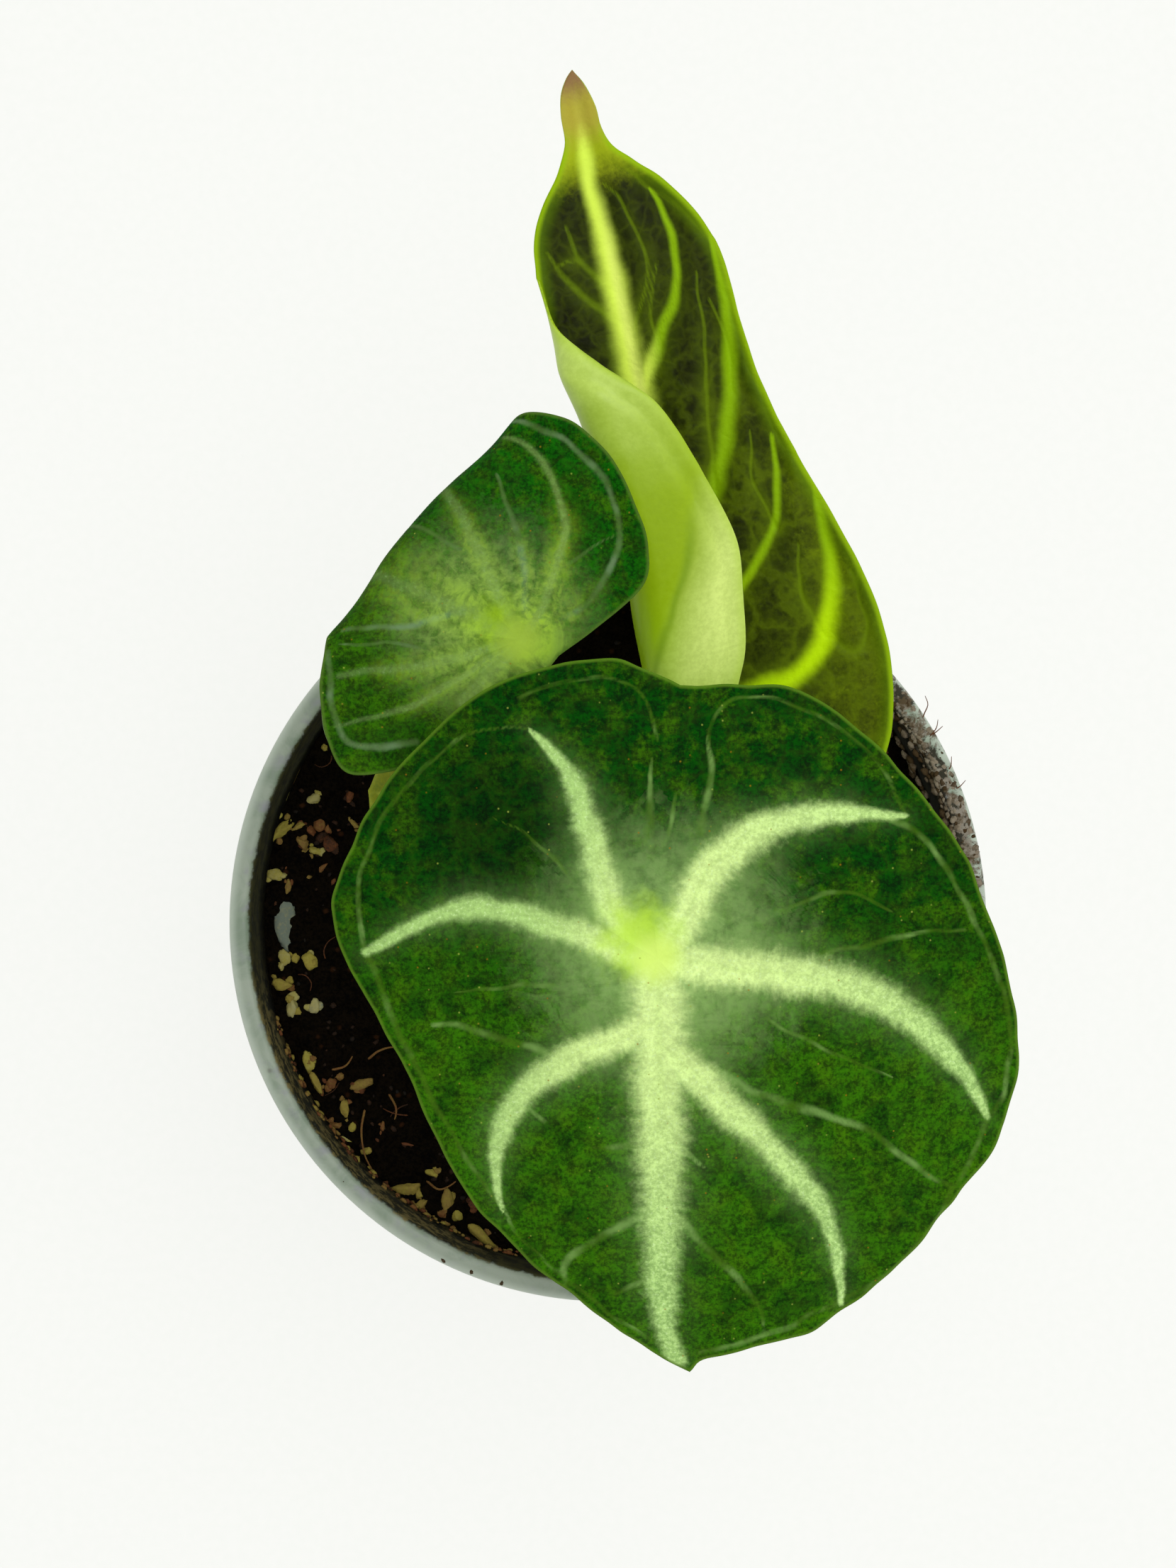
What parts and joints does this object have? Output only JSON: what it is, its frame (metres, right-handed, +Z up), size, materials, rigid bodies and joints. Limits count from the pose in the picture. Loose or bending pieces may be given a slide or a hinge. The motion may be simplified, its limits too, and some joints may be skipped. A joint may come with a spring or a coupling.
{
  "type": "potted ninja alocasia",
  "caption": "Young alocasia with round, pale-veined dark leaves on slender stalks in a plain tapered nursery pot of soil.",
  "frame": {"origin": "centre of the pot's flat base, on the surface that the pot stands on", "axes": "+Z up out of the pot, +Y towards the new leaf's tip, +X to the right when the new leaf points away"},
  "size_m": [0.07, 0.1079, 0.0999],
  "materials": {
    "pot": "thin white nursery plastic, soft sheen",
    "soil": "damp dark potting mix with bark chips and perlite",
    "crown": "rough brown rhizome skin",
    "mature_leaf": "velvety dark green with pale mint veins",
    "young_leaf": "satin lime and olive, pale green underside",
    "old_leaf": "dull mustard and olive",
    "stalk": "smooth pale green, faintly streaked"
  },
  "bodies": {
    "root": {"pot": "pot", "soil": "soil", "crown": "crown", "front_blade": "mature_leaf", "front_stalk": "stalk", "side_blade": "mature_leaf", "side_stalk": "stalk", "new_blade": "young_leaf", "new_stalk": "stalk", "old_blade": "old_leaf", "old_stalk": "stalk"}
  },
  "joints": []
}
